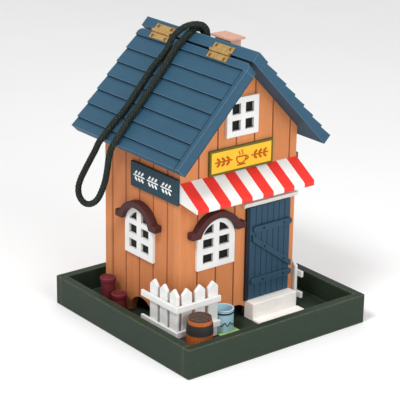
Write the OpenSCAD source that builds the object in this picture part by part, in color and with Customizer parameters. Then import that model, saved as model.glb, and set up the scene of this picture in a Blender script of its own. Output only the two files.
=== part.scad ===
// Hanging wooden bird feeder shaped like a small street cafe.
// A square tray carries a planked house that holds the seed. The left half of the roof is a lid on
// two brass hinges, and a rope comes up through the fixed half and lies over the lid.
// Millimetres, +Z up, the door faces -Y. The origin is the middle of the tray's underside.

/* [House] */
// Width of the house across the front wall
house_w = 142; // [142:1:200]
// Depth of the house, front wall to back wall
house_d = 121; // [115:1:170]
// Height of the side walls above the tray floor
wall_h = 186; // [150:1:240]
// Thickness of the wall boards
wall_t = 9; // [7:0.5:12]
// Width of one scored plank on the walls
plank_w = 22.3; // [15:0.1:35]
// Width of the V groove between two planks
groove_w = 2; // [1:0.1:3]
// Radius of the seed arch at the foot of each side wall
side_arch_r = 20; // [12:0.5:30]
// Radius of the seed arch at the foot of the front and back walls
front_arch_r = 15; // [8:0.5:20]

/* [Tray] */
// Free floor left and right of the house, to the tray's edge
side_walk = 39; // [36:1:70]
// Free floor in front of the house, to the tray's edge
front_walk = 66.5; // [62:0.5:100]
// Free floor behind the house, to the tray's edge
back_walk = 32.5; // [25:0.5:60]
// Thickness of the tray's floor board
floor_t = 8; // [6:0.5:12]
// Height of the rim boards
rim_h = 30; // [20:1:45]
// Thickness of the rim boards
rim_t = 9; // [6:0.5:12]
// Rounding of the tray's upright corners
tray_corner_r = 2; // [0.5:0.5:4]

/* [Roof] */
// Slope of the roof, in degrees
roof_pitch = 46; // [40:1:50]
// Thickness of the roof boards under the courses
board_t = 9; // [7:0.5:12]
// Rise of each course of siding over the one below
lap_rise = 1.8; // [1:0.1:2.5]
// Height of one course along the slope
lap_pitch = 16.9; // [12:0.1:22]
// How far the eaves stand out past the side walls
over_side = 21.7; // [12:0.1:40]
// How far the roof stands out past the front wall
over_front = 24.5; // [18:0.5:40]
// How far the roof stands out past the back wall
over_back = 27.5; // [10:0.5:40]
// Gap between the ridge edge and the lid
ridge_gap = 2.7; // [2:0.1:4]
// Rounding of the roof panels' corners at the ridge
roof_corner_r = 6; // [2:0.5:8]
// Air between the closed lid and the walls it lies on
lid_clear = 0.3; // [0.2:0.1:0.6]

/* [Hinges] */
// Length of one hinge
hinge_len = 29; // [24:1:36]
// Width of one leaf, from the edge to the knuckles
leaf_w = 8.2; // [7.4:0.1:9]
// Thickness of a leaf
leaf_t = 0.9; // [0.6:0.1:1.2]
// Outer radius of the knuckles
knuckle_r = 1.6; // [1.4:0.1:2]
// Radius of the hinge pin
pin_r = 0.8; // [0.6:0.05:1]
// Radial clearance of the pin in the knuckles
pin_clear = 0.05; // [0.03:0.01:0.1]
// Distance of each hinge's middle from the nearer gable end of the roof
hinge_inset = 41; // [30:1:60]
// Radius of a hinge screw's shank
hinge_screw_r = 1; // [0.8:0.1:1.2]
// Length of a hinge screw's shank in the wood
hinge_screw_len = 6.5; // [5:0.5:7.5]

/* [Chimney] */
// Size of the chimney stack across the roof
stack_w = 12; // [8:0.5:16]
// Size of the chimney stack along the ridge
stack_d = 24; // [16:0.5:32]
// How far the cap stands out past the stack
cap_over = 3; // [1:0.5:5]
// Thickness of the cap
cap_t = 2.2; // [1.5:0.1:4]
// Height of the cap's top above the ridge
cap_rise = 2; // [1:0.5:12]
// Distance from the ridge to the middle of the stack
stack_x = 12.5; // [11:0.5:20]
// Distance from the front wall to the middle of the stack
stack_back = 37; // [30:1:40]

/* [Rope] */
// Thickness of the rope
rope_d = 6.2; // [5:0.1:6.2]
// Radius of the hole that both ends of the rope come up through
rope_hole_r = 6.8; // [6.6:0.1:8]
// Radius of the knot under the roof
knot_r = 8.5; // [7:0.5:8.5]

/* [Awning and lintel] */
// How far below the eaves level the awning meets the wall
awning_drop = 30.5; // [26:0.5:40]
// How far the awning stands out from the wall
awning_out = 28; // [20:1:32]
// Height of the awning where it meets the wall
awning_back_h = 19; // [14:0.5:24]
// How far the awning's bottom edge hangs lower at the front
awning_sag = 3.8; // [0:0.1:5]
// Height of the awning's front edge
valance_h = 5; // [3:0.5:8]
// How far the awning stands out past each side wall
awning_over = 0.5; // [0:0.5:2]
// Gap between the awning and the lintel moulding
lintel_drop = 16.5; // [14:0.5:22]
// Height of the lintel moulding over the door
lintel_h = 4.5; // [2.5:0.5:6]
// How far the lintel's lower step stands out
lintel_out = 3; // [2:0.5:4]

/* [Door] */
// Width of the door
door_w = 51; // [40:1:56]
// Distance from the house's right corner to the door
door_inset = 7.5; // [5:0.5:12]
// Thickness of the door's boards
door_t = 3; // [2:0.5:4]
// Number of boards in the door
door_boards = 7; // [4:1:9]
// Width of the jamb strip beside the door
jamb_w = 3.8; // [2:0.1:4]
// Height of the two ledges across the door
ledge_h = 6.5; // [4:0.5:8]
// Thickness of the ledges and the brace
ledge_t = 2.5; // [1.5:0.5:4]
// Distance from the door's top to the upper ledge
upper_ledge_drop = 19.5; // [12:0.5:26]
// Distance from the door's foot to the lower ledge
lower_ledge_rise = 16; // [8:0.5:22]
// Height of the step block under the door
step_h = 18; // [10:0.5:24]
// Depth of the step block
step_d = 13.5; // [10:0.5:18]
// Height of the low tread in front of the block
tread_h = 2.5; // [1.5:0.5:5]
// Depth of the low tread
tread_d = 11; // [8:0.5:18]

/* [Arched windows] */
// Width of an arched window
arch_win_w = 45.6; // [40:0.2:46]
// Height of the straight sides of an arched window
arch_win_side = 27.8; // [24:0.2:40]
// Thickness of the window boards
frame_t = 3.5; // [2.5:0.5:5]
// Distance from the awning's foot at the wall down to the window sill
sill_drop = 72.5; // [68:0.5:90]
// Distance from the house's left corner to the middle of the front window
front_win_inset = 41.5; // [36:0.5:42]
// Width of one pane
pane_w = 12.2; // [8:0.1:12.6]
// Height of one pane
pane_h = 9; // [5:0.1:10]
// Distance between two rows of panes, middle to middle
pane_row = 15.3; // [12:0.1:18]
// Width of the bar between the two columns of panes
mullion_w = 7.2; // [5:0.1:9]
// Width of the wood below the lowest panes
sill_h = 6.2; // [5:0.1:9]
// Width of the arched hood's band
hood_band = 6.7; // [4:0.1:7]
// How far the hood stands out from the wall
hood_out = 8.5; // [6:0.5:12]
// Height of the hood's foot above the spring of the arch
hood_rise = 6.7; // [3:0.1:9]
// Height of the hood's two feet
hood_foot_h = 7; // [4:0.5:8]
// Full width of the hood across its feet
hood_w = 65; // [61:0.5:68]

/* [Gable window and signs] */
// Width of the gable window
gable_win_w = 38.4; // [30:0.2:44]
// Height of the gable window
gable_win_h = 37.8; // [28:0.2:40]
// Size of one pane of the gable window
gable_pane = 10; // [6:0.1:11]
// Width of the bars between those panes
gable_bar = 6; // [4:0.1:9]
// Thickness of the sign boards
sign_t = 3; // [2:0.5:4]
// Length of the front sign
sign_w = 77.2; // [60:0.2:100]
// Height of the front sign
sign_h = 24.7; // [16:0.1:28]
// Length of the sign on each side wall
side_sign_w = 74.5; // [50:0.5:90]
// Height of the sign on each side wall
side_sign_h = 25.3; // [16:0.1:28]
// Distance from the eaves level down to the side signs
side_sign_drop = 27; // [22:0.5:34]

/* [Fences] */
// Width of one picket
picket_w = 12; // [8:0.5:14]
// Thickness of one picket
picket_t = 3.5; // [2:0.5:5]
// Height of the corner fence
fence_h = 58; // [40:1:70]
// Height of the right fence
right_fence_h = 46; // [40:1:64]
// Height of the pointed picket tops
point_h = 6; // [3:0.5:9]
// Distance between two pickets, middle to middle
picket_pitch = 15.5; // [15:0.5:20]
// Height of a rail
rail_h = 6.5; // [4:0.5:10]
// Thickness of a rail
rail_t = 3; // [2:0.5:5]

/* [Pots] */
// Radius of the barrel at its ends
barrel_r = 11.3; // [9:0.1:13]
// How much wider the barrel is at its middle
barrel_belly = 1.2; // [0:0.1:1.5]
// Height of the barrel, lid included
barrel_h = 36; // [26:1:44]
// Thickness of the barrel's lid
barrel_lid_t = 2.5; // [1.5:0.5:4]
// Radius of the can
can_r = 10; // [7:0.5:10]
// Height of the can
can_h = 22.5; // [14:0.5:30]
// Height of the dark band round the can
can_band_h = 1.6; // [1:0.1:4]
// Distance from the can's rim down to the band's lower edge
can_band_drop = 4.4; // [4.2:0.1:8]
// Wall thickness of the can
can_wall = 1.2; // [0.8:0.1:2]
// Width of the square plate under the can
plate_w = 23; // [21:0.5:23]
// Thickness of that plate
plate_t = 1.5; // [1:0.5:3]
// Radius of the red pots at the rim
pot_r = 8; // [5:0.1:8.4]
// Height of the tall red pot
tall_pot_h = 33; // [20:1:40]
// Height of the short red pot
short_pot_h = 22; // [14:1:30]

/* [Hidden] */
$fn = 48;

// A cut reaches this far past the face it opens.
past = 1;

// Tray and house, seen from above
tray_w = house_w + 2 * side_walk;
tray_d = front_walk + house_d + back_walk;
left = -house_w / 2;
right = house_w / 2;
front = front_walk - tray_d / 2;
back = front + house_d;
mid_y = (front + back) / 2;

// Width of the first plank at the corner, on the gable walls and on the side walls
front_first_plank = plank_w - 0.7;
side_first_plank = plank_w - 2.9;

// Levels
eave_z = floor_t + wall_h;
roof_t = board_t + lap_rise;
rise = tan(roof_pitch);
inner_ridge_z = eave_z + house_w / 2 * rise;
ridge_z = inner_ridge_z + roof_t / cos(roof_pitch);
awning_z = eave_z - awning_drop;
awning_foot_z = awning_z - awning_back_h;
lintel_z = awning_foot_z - lintel_drop - lintel_h;
door_gap = 0.7;
door_z = floor_t + step_h + door_gap;
door_top = lintel_z - 1;
door_x = right - door_inset - door_w;
sill_z = awning_foot_z - sill_drop;
spring_z = sill_z + arch_win_side;
sign_gap = 0.5;
sign_z = awning_z + sign_gap;
gable_win_gap = 9.5;
gable_z = sign_z + sign_h + gable_win_gap;

// Roof, along the slope
slope_len = (house_w / 2 + over_side) / cos(roof_pitch);
roof_front = front - over_front;
roof_back = back + over_back;
strip_end = roof_t / sin(2 * roof_pitch);
lid_start = strip_end + ridge_gap;
axis_s = strip_end + ridge_gap / 2;
lid_first_course = lid_start + leaf_w - 0.3;
fixed_first_course = 15.3;

// Hinges
hinge_shift = 5;
hinge_ys = [roof_front + hinge_inset + hinge_shift, roof_back - hinge_inset + hinge_shift];
screw_dy = 10.2;
screw_ds = 5.8;
knuckles = 5;
knuckle_len = hinge_len / knuckles;
knuckle_gap = 0.15;
hinge_head_t = 0.5;

// Screws that hold the walls to the floor: shank radius, length in the wall, head radius and height
floor_screw_r = 1.5;
floor_screw_len = 12;
floor_head_r = 3.2;
floor_head_h = 2;
screw_inset = 26;
screw_hole_clear = 0.1;

// Middle of the chimney stack
stack_y = front + stack_back;

// Roof nails, and their places down the slope
nail_r = 0.8;
nail_len = 22;
roof_nail_places = [40.5, 90.5];

// Rope: x, y, z of its middle line, from the knot up the left strand, round the loop that hangs past
// the eaves, and back along the right strand to the knot.
ROPE = [
    [7, 17.5, 251], [7, 17.5, 262], [7, 17.5, 275], [6.5, 17.5, 281.5], [5.5, 18, 286.5],
    [3, 19.5, 290], [-1.5, 22.5, 291.5], [-7, 27.5, 290.5], [-12.5, 34, 286], [-18.5, 40, 276.5],
    [-23.5, 43, 264.5], [-35, 46, 251.5], [-57, 45, 228.5], [-72.5, 44, 212.5], [-85.5, 46.5, 199.5],
    [-94, 47, 190.5], [-98, 49, 184.5], [-99.5, 53, 176], [-99.5, 61, 165], [-99.5, 71, 151],
    [-99.5, 79.5, 138], [-99.5, 83, 129], [-99.5, 82, 122], [-99.5, 77.5, 118], [-99.5, 71, 116.5],
    [-99.5, 63.5, 118], [-99.5, 56.5, 121.5], [-99.5, 50.5, 126.5], [-99.5, 43, 137], [-99.5, 37, 149],
    [-99.5, 33, 163], [-99.5, 30, 176], [-98, 28, 184.5], [-94, 27.5, 190.5], [-85, 28, 200],
    [-76, 30, 209], [-67.5, 29, 218], [-52.5, 30.5, 233.5], [-31, 32, 256], [-21.5, 34, 266],
    [-15.5, 32.5, 272.5], [-9.5, 30.5, 279], [-4.5, 29.5, 283.5], [0.5, 28.5, 285.8], [5, 27, 285.5],
    [8.3, 25, 281.8], [9, 23.5, 275], [9, 23.5, 262], [9, 23.5, 251],
];
loop_from = 15;
loop_to = 33;
rope_hole = [8, 20.5];
rope_sides = 8;
knot_gap = 0.2;

// Small pieces on the tray
front_fence_y = front - 15;
left_fence_x = left - 12.5;
right_fence_x = right + 1.5;
low_rail = 10.5;
high_rail = 36;
right_low_rail = 6;
right_high_rail = 28.5;
can_x = left + 45;
can_y = front - 12;
barrel_x = left - 3;
barrel_y = front - 36.5;
pot_x = left - 13;
short_pot_y = mid_y + 19;
tall_pot_y = mid_y + 38;

// An outline in X and Z drawn through from one Y to another
module along_y(y0, y1) {
    translate([0, y1, 0]) rotate([90, 0, 0]) linear_extrude(y1 - y0) children();
}

// A place on a slope of the roof: +Z is the way out. Along the slope it is -X on the left slope, and
// +X on the right slope.
module on_left_slope() { translate([0, 0, ridge_z]) rotate([0, -roof_pitch, 0]) children(); }
module on_right_slope() { translate([0, 0, ridge_z]) rotate([0, roof_pitch, 0]) children(); }

// A board on the front wall: outline in X and Z, standing out by t
module on_front(t) { along_y(front - t, front) children(); }

// A board on the left wall: outline in Y and Z, standing out by t
module on_left(t) {
    translate([left - t, 0, 0]) rotate([90, 0, 90]) linear_extrude(t) children();
}

// A rectangle between two corners
module span(x0, z0, x1, z1) { translate([x0, z0]) square([x1 - x0, z1 - z0]); }

// Scored lines between the planks of a wall, running up to height h
module grooves(first, length, h) {
    for (x = [first : plank_w : length - groove_w])
        translate([x, 0, 0]) linear_extrude(h)
            polygon([[-groove_w / 2, -0.01], [0, groove_w / 2], [groove_w / 2, -0.01]]);
}

// ---- Tray ----

module rim_outline() {
    difference() {
        rounded_plate(tray_w, tray_d, tray_corner_r);
        square([tray_w - 2 * rim_t, tray_d - 2 * rim_t], center = true);
    }
}

// A rectangle with rounded corners, about the middle
module rounded_plate(w, d, r) {
    square([w - 2 * r, d], center = true);
    square([w, d - 2 * r], center = true);
    for (x = [-1, 1], y = [-1, 1]) translate([x * (w / 2 - r), y * (d / 2 - r)]) circle(r);
}

function floor_screw_places() = [
    for (x = [-1, 1]) [x * (house_w / 2 - screw_inset), front + wall_t / 2],
    for (x = [-1, 1]) [x * (house_w / 2 - screw_inset), back - wall_t / 2],
    for (x = [-1, 1], y = [-1, 1]) [x * (house_w - wall_t) / 2, mid_y + y * (house_d / 2 - screw_inset)],
];

module floor_screw_shapes(grow) {
    for (p = floor_screw_places()) translate([p[0], p[1], 0]) {
        cylinder(h = floor_t + floor_screw_len, r = floor_screw_r + grow);
        rotate_extrude() polygon([
            [0, 0], [floor_head_r, 0], [floor_screw_r, floor_head_h], [0, floor_head_h]]);
    }
}

module tray_floor() {
    color([0.24, 0.28, 0.24]) difference() {
        translate([-tray_w / 2 + rim_t, -tray_d / 2 + rim_t, 0])
            cube([tray_w - 2 * rim_t, tray_d - 2 * rim_t, floor_t]);
        floor_screw_shapes(screw_hole_clear);
    }
}

// The long rims run the full width, and the side rims fit between them.
module rim_part(y0, y1, x0, x1) {
    color([0.24, 0.28, 0.24]) linear_extrude(rim_h) intersection() {
        rim_outline();
        translate([x0, y0]) square([x1 - x0, y1 - y0]);
    }
}

module tray_rim_front() { rim_part(-tray_d / 2, -tray_d / 2 + rim_t, -tray_w / 2, tray_w / 2); }
module tray_rim_back() { rim_part(tray_d / 2 - rim_t, tray_d / 2, -tray_w / 2, tray_w / 2); }
module tray_rim_left() {
    rim_part(-tray_d / 2 + rim_t, tray_d / 2 - rim_t, -tray_w / 2, -tray_w / 2 + rim_t);
}
module tray_rim_right() {
    rim_part(-tray_d / 2 + rim_t, tray_d / 2 - rim_t, tray_w / 2 - rim_t, tray_w / 2);
}
module floor_screws() { color("silver") floor_screw_shapes(0); }

// ---- House ----

// The gable wall's outline: its left slope lies lid_clear under the lid.
module gable_outline() {
    drop = lid_clear / cos(roof_pitch);
    polygon([
        [left, floor_t], [right, floor_t], [right, eave_z], [0, inner_ridge_z],
        [-drop / 2 / rise, inner_ridge_z - drop / 2], [left, eave_z - drop]]);
}

module seed_arch(r) { translate([0, floor_t]) circle(r); }

module gable_wall(y0) {
    difference() {
        along_y(y0, y0 + wall_t) difference() {
            gable_outline();
            seed_arch(front_arch_r);
        }
        floor_screw_shapes(0);
        roof_nail_shapes(0);
    }
}

module wall_front() {
    color([0.8, 0.52, 0.33]) difference() {
        gable_wall(front);
        translate([left, front, 0]) grooves(front_first_plank, house_w, ridge_z);
    }
}

module wall_back() {
    color([0.8, 0.52, 0.33]) difference() {
        gable_wall(back - wall_t);
        translate([right, back, 0]) rotate([0, 0, 180]) grooves(front_first_plank, house_w, ridge_z);
    }
}

// A side wall, drawn on the right. Its top is planed to the roof's slope.
module side_wall(drop) {
    difference() {
        along_y(front + wall_t, back - wall_t) polygon([
            [right - wall_t, floor_t], [right, floor_t], [right, eave_z - drop],
            [right - wall_t, eave_z + wall_t * rise - drop]]);
        translate([0, mid_y, 0]) rotate([90, 0, 90]) linear_extrude(house_w) seed_arch(side_arch_r);
        translate([right, front, 0]) rotate([0, 0, 90])
            grooves(side_first_plank, house_d - wall_t, ridge_z);
        floor_screw_shapes(0);
    }
}

module wall_left() {
    color([0.75, 0.45, 0.27]) mirror([1, 0, 0]) side_wall(lid_clear / cos(roof_pitch));
}
module wall_right() { color([0.75, 0.45, 0.27]) side_wall(0); }

// ---- Roof ----

// The section of a roof panel: flat to the first course, then one step for each course
function course_ends(first) = [for (s = [first : lap_pitch : slope_len - 2]) s];
function last_course(first) = first + floor((slope_len - 2 - first) / lap_pitch) * lap_pitch;
function course_points(first) = [
    for (s = course_ends(first)) each [[s, 0], [s, -lap_rise]],
    [slope_len, -lap_rise * (1 - (slope_len - last_course(first)) / lap_pitch)],
];

module fixed_section() {
    // Its upper end is planed flush with the left slope.
    polygon(concat(
        [[-roof_t / tan(2 * roof_pitch), -roof_t], [0, 0]],
        course_points(fixed_first_course),
        [[slope_len, -roof_t]]));
}

module lid_section() {
    mirror([1, 0]) polygon(concat(
        [[lid_start, -roof_t], [lid_start, 0]],
        course_points(lid_first_course),
        [[slope_len, -roof_t]]));
}

// A panel's plan on its slope, with the two corners at the ridge rounded
module panel_plan(s0, s1) {
    r = roof_corner_r;
    translate([s0, roof_front + r]) square([s1 - s0, roof_back - roof_front - 2 * r]);
    translate([s0 + r, roof_front]) square([s1 - s0 - r, roof_back - roof_front]);
    for (y = [roof_front + r, roof_back - r]) translate([s0 + r, y]) circle(r);
}

module roof_fixed_panel() {
    color([0.24, 0.36, 0.44]) difference() {
        on_right_slope() along_y(roof_front, roof_back) fixed_section();
        translate([rope_hole[0], rope_hole[1], 0]) cylinder(h = ridge_z + past, r = rope_hole_r);
        hinge_screw_shapes(-axis_s + screw_ds, 0);
        roof_nail_shapes(0);
        chimney_nail_shape(0);
    }
}

module roof_lid() {
    color([0.24, 0.36, 0.44]) difference() {
        intersection() {
            on_left_slope() along_y(roof_front, roof_back) lid_section();
            on_left_slope() mirror([1, 0, 0]) translate([0, 0, -roof_t - past])
                linear_extrude(roof_t + 2 * past) panel_plan(lid_start, slope_len);
        }
        hinge_screw_shapes(-axis_s - screw_ds, 0);
    }
}

// Nails through the fixed panel into the gable walls
module roof_nail_shapes(grow) {
    for (y = [front + wall_t / 2, back - wall_t / 2], s = roof_nail_places)
        on_right_slope() translate([s, y, -lap_rise - nail_len])
            cylinder(h = nail_len + lap_rise * ((s - fixed_first_course) % lap_pitch) / lap_pitch,
                r = nail_r + grow, $fn = 24);
}

module roof_nails() { color("silver") roof_nail_shapes(0); }

// ---- Hinges ----

// Places of the hinge screws on the left slope, at local x
module hinge_screw_shapes(x, grow) {
    for (y = hinge_ys, dy = [-screw_dy, screw_dy])
        on_left_slope() translate([x, y + dy, -hinge_screw_len])
            cylinder(h = hinge_screw_len + leaf_t, r = hinge_screw_r + grow);
}

// One leaf with its knuckles, drawn on the side given by side (+1 towards the ridge), with every
// second knuckle from number first
module hinge_leaf(side, first) {
    tab = knuckle_r + 0.2;
    difference() {
        union() {
            translate([side > 0 ? tab : -leaf_w, -hinge_len / 2, 0])
                cube([leaf_w - tab, hinge_len, leaf_t]);
            for (i = [first : 2 : knuckles - 1]) {
                y0 = -hinge_len / 2 + i * knuckle_len + knuckle_gap / 2;
                translate([0, y0 + knuckle_len - knuckle_gap, knuckle_r]) rotate([90, 0, 0])
                    cylinder(h = knuckle_len - knuckle_gap, r = knuckle_r);
                translate([side > 0 ? 0 : -tab - knuckle_gap, y0, 0])
                    cube([tab + knuckle_gap, knuckle_len - knuckle_gap, leaf_t]);
            }
        }
        translate([0, hinge_len, knuckle_r]) rotate([90, 0, 0])
            cylinder(h = 2 * hinge_len, r = pin_r + pin_clear);
    }
}

module hinge_fixed_leaves() {
    color([0.76, 0.62, 0.43]) difference() {
        for (y = hinge_ys) on_left_slope() translate([-axis_s, y, 0]) hinge_leaf(1, 1);
        hinge_screw_shapes(-axis_s + screw_ds, 0);
    }
}

module hinge_lid_leaves() {
    color([0.76, 0.62, 0.43]) difference() {
        for (y = hinge_ys) on_left_slope() translate([-axis_s, y, 0]) hinge_leaf(-1, 0);
        hinge_screw_shapes(-axis_s - screw_ds, 0);
    }
}

module hinge_pins() {
    color([0.7, 0.56, 0.38]) for (y = hinge_ys)
        on_left_slope() translate([-axis_s, y + hinge_len / 2, knuckle_r]) rotate([90, 0, 0])
            cylinder(h = hinge_len, r = pin_r);
}

module hinge_screws(x) {
    color([0.76, 0.62, 0.43]) {
        hinge_screw_shapes(x, 0);
        for (y = hinge_ys, dy = [-screw_dy, screw_dy])
            on_left_slope() translate([x, y + dy, leaf_t]) cylinder(h = hinge_head_t, r = 2 * hinge_screw_r);
    }
}

module hinge_screws_ridge() { hinge_screws(-axis_s + screw_ds); }
module hinge_screws_lid() { hinge_screws(-axis_s - screw_ds); }

// ---- Chimney ----

module chimney_nail_shape(grow) {
    translate([stack_x, stack_y, ridge_z + cap_rise - nail_len])
        cylinder(h = nail_len, r = nail_r + grow);
}

module chimney_stack() {
    color([0.78, 0.6, 0.5]) difference() {
        translate([stack_x - stack_w / 2, stack_y - stack_d / 2, ridge_z - 2 * stack_w - stack_x])
            cube([stack_w, stack_d, 2 * stack_w + stack_x + cap_rise - cap_t]);
        on_right_slope() along_y(roof_front, roof_back) union() {
            fixed_section();
            span(-roof_t, -4 * slope_len, slope_len, -roof_t);
        }
        chimney_nail_shape(0);
    }
}

module chimney_cap() {
    color([0.78, 0.6, 0.5]) difference() {
        translate([stack_x - stack_w / 2 - cap_over, stack_y - stack_d / 2 - cap_over,
            ridge_z + cap_rise - cap_t]) cube([stack_w + 2 * cap_over, stack_d + 2 * cap_over, cap_t]);
        chimney_nail_shape(0);
    }
}

module chimney_nail() { color("silver") chimney_nail_shape(0); }

// ---- Rope ----

function unit(v) = v / norm(v);
function route_way(p, i) = unit(p[min(i + 1, len(p) - 1)] - p[max(i - 1, 0)]);
// The ring's first direction at each point, carried along the route without twisting
function carried(p, side, i = 0) =
    i >= len(p) ? [] :
    let (t = route_way(p, i), s = unit(side - (side * t) * t)) concat([s], carried(p, s, i + 1));

// A closed tube along the points from number a to number b of a route
module tube(route, a, b, r) {
    sides = carried(route, [1, 0, 0]);
    n = rope_sides;
    rings = b - a + 1;
    points = [
        for (i = [a : b], k = [0 : n - 1])
            let (t = route_way(route, i), s = sides[i], w = cross(t, s), q = 360 * k / n)
            route[i] + r * (cos(q) * s + sin(q) * w)];
    walls = [
        for (i = [0 : rings - 2], k = [0 : n - 1])
            let (u = i * n + k, v = i * n + (k + 1) % n)
            each [[u, u + n, v], [v, u + n, v + n]]];
    first = [for (k = [0 : n - 1]) k];
    last = [for (k = [n - 1 : -1 : 0]) (rings - 1) * n + k];
    polyhedron(points, concat(walls, [first, last]));
}

module rope_strand_left() { color([0.13, 0.16, 0.14]) tube(ROPE, 0, loop_from, rope_d / 2); }
module rope_loop() { color([0.13, 0.16, 0.14]) tube(ROPE, loop_from, loop_to, rope_d / 2); }
module rope_strand_right() {
    color([0.13, 0.16, 0.14]) tube(ROPE, loop_to, len(ROPE) - 1, rope_d / 2);
}
knot_z = inner_ridge_z - rope_hole[0] * rise - (knot_r + knot_gap) / cos(roof_pitch);
module rope_knot() {
    color([0.13, 0.16, 0.14]) translate([rope_hole[0], rope_hole[1], knot_z]) sphere(r = knot_r);
}

// ---- Windows ----

// An arched window's outline about the middle of its sill
module arched_outline(w) {
    translate([-w / 2, 0]) square([w, arch_win_side]);
    translate([0, arch_win_side]) circle(w / 2);
}

fan_light_margin = 5.4;
fan_light_r = arch_win_w / 2 - fan_light_margin;
fan_light_drop = 1;

// Panes of an arched window: two columns, two rows, and a fan light on top of each column
module arched_panes() {
    for (side = [0, 1]) mirror([side, 0]) {
        for (row = [0, 1])
            translate([mullion_w / 2, sill_h + row * pane_row]) square([pane_w, pane_h]);
        intersection() {
            translate([mullion_w / 2, sill_h + 2 * pane_row - fan_light_drop]) square([pane_w, 2 * pane_h]);
            translate([0, arch_win_side]) circle(fan_light_r);
        }
    }
}

module arched_frame() { difference() { arched_outline(arch_win_w); arched_panes(); } }

// The dark board behind the panes lies inside the frame's thickness.
backing_t = 0.8;

module arched_hood() {
    r = arch_win_w / 2;
    translate([0, arch_win_side]) difference() {
        union() {
            circle(r + hood_band);
            span(-hood_w / 2, hood_rise, hood_w / 2, hood_rise + hood_foot_h);
        }
        circle(r);
        span(-hood_w, -2 * r, hood_w, hood_rise);
    }
}

front_win_x = left + front_win_inset;

module front_window_frame() {
    color("white") on_front(frame_t) translate([front_win_x, sill_z]) arched_frame();
}
module front_window_backing() {
    color("black") on_front(backing_t) translate([front_win_x, sill_z]) arched_panes();
}
module front_window_hood() {
    color([0.27, 0.15, 0.15]) on_front(hood_out) translate([front_win_x, sill_z]) arched_hood();
}
module side_window_frame() {
    color("white") on_left(frame_t) translate([mid_y, sill_z]) arched_frame();
}
module side_window_backing() {
    color("black") on_left(backing_t) translate([mid_y, sill_z]) arched_panes();
}
module side_window_hood() {
    color([0.27, 0.15, 0.15]) on_left(hood_out) translate([mid_y, sill_z]) arched_hood();
}

module gable_panes() {
    step = gable_pane + gable_bar;
    for (x = [-1, 1], z = [-1, 1])
        translate([x * step / 2, gable_win_h / 2 + z * step / 2])
            square(gable_pane, center = true);
}
module gable_window_frame() {
    color("white") on_front(frame_t) translate([0, gable_z]) difference() {
        span(-gable_win_w / 2, 0, gable_win_w / 2, gable_win_h);
        gable_panes();
    }
}
module gable_window_backing() {
    color("black") on_front(backing_t) translate([0, gable_z]) gable_panes();
}

// ---- Awning, lintel and door ----

module awning() {
    color([0.94, 0.25, 0.22]) translate([left - awning_over, 0, 0]) rotate([90, 0, 90])
        linear_extrude(house_w + 2 * awning_over) polygon([
            [front, awning_z], [front, awning_foot_z],
            [front - awning_out, awning_foot_z - awning_sag],
            [front - awning_out, awning_foot_z - awning_sag + valance_h]]);
}

lintel_past_jamb = 4;
lintel_past_corner = 1.5;
lintel_step = 1.5;

module door_lintel() {
    x0 = door_x - jamb_w - lintel_past_jamb;
    x1 = right + lintel_past_corner;
    color("white") {
        on_front(lintel_out) span(x0, lintel_z, x1, lintel_z + lintel_h / 2);
        on_front(lintel_out + lintel_step) span(x0, lintel_z + lintel_h / 2, x1, lintel_z + lintel_h);
    }
}

// Depth and half width of the grooves between the door's boards
door_groove = 0.7;

module door_boards_slab() {
    board = door_w / door_boards;
    color([0.18, 0.29, 0.36]) difference() {
        on_front(door_t) span(door_x, door_z, door_x + door_w, door_top);
        for (i = [1 : door_boards - 1])
            translate([door_x + i * board, front - door_t, 0]) linear_extrude(ridge_z)
                polygon([[-door_groove, -0.01], [0, door_groove], [door_groove, -0.01]]);
    }
}

jamb_gap = 0.3;
module door_jamb() {
    color([0.12, 0.16, 0.2]) on_front(door_t)
        span(door_x - jamb_w - jamb_gap, floor_t + step_h, door_x - jamb_gap, door_top);
}

// A strip on the door with rounded ends
module ledge(x0, x1, z) {
    r = ledge_h / 2;
    translate([x0 + r, z]) square([x1 - x0 - 2 * r, ledge_h]);
    for (x = [x0 + r, x1 - r]) translate([x, z + r]) circle(r);
}

upper_ledge_z = door_top - upper_ledge_drop - ledge_h;
lower_ledge_z = door_z + lower_ledge_rise;

// Where a ledge starts inside the door's left edge, and how far it runs past the right edge
upper_ledge_ends = [3, 1];
lower_ledge_ends = [1, 2];

module door_ledges() {
    color([0.14, 0.24, 0.3]) on_ledge() {
        ledge(door_x + upper_ledge_ends[0], door_x + door_w + upper_ledge_ends[1], upper_ledge_z);
        ledge(door_x + lower_ledge_ends[0], door_x + door_w + lower_ledge_ends[1], lower_ledge_z);
    }
}

// A strip laid on the door's face
module on_ledge() { along_y(front - door_t - ledge_t, front - door_t) children(); }

// The brace falls from the upper ledge on the left to the lower ledge on the right.
brace_gap = 2;
brace_x0 = door_x + 2;
brace_x1 = door_x + door_w + 1;
brace_z0 = upper_ledge_z - brace_gap;
brace_z1 = lower_ledge_z + ledge_h + brace_gap;
module brace_outline() {
    polygon([
        [brace_x0, brace_z0], [brace_x0, brace_z0 - ledge_h],
        [brace_x1, brace_z1], [brace_x1, brace_z1 + ledge_h]]);
}
module door_brace() { color([0.14, 0.24, 0.3]) on_ledge() brace_outline(); }

// Round nail heads on the ledges and, at two shares of its length, on the brace
ledge_nail_xs = [door_x + 15.5, door_x + door_w - 9.5];
brace_nail_shares = [0.3, 0.8];
door_nail_r = 1;
door_nail_h = 0.6;
function door_nail_places() = [
    for (x = ledge_nail_xs, z = [upper_ledge_z, lower_ledge_z]) [x, z + ledge_h / 2],
    for (t = brace_nail_shares)
        [(1 - t) * brace_x0 + t * brace_x1, (1 - t) * brace_z0 + t * brace_z1 + (t - 0.5) * ledge_h],
];
module door_nails() {
    color("silver") for (p = door_nail_places())
        translate([p[0], front - door_t - ledge_t, p[1]]) rotate([90, 0, 0])
            cylinder(h = door_nail_h, r = door_nail_r);
}

// How far the step and the tread run past the door, left and right
step_past = [2.5, 3];
tread_past = [3, 4.5];

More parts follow.
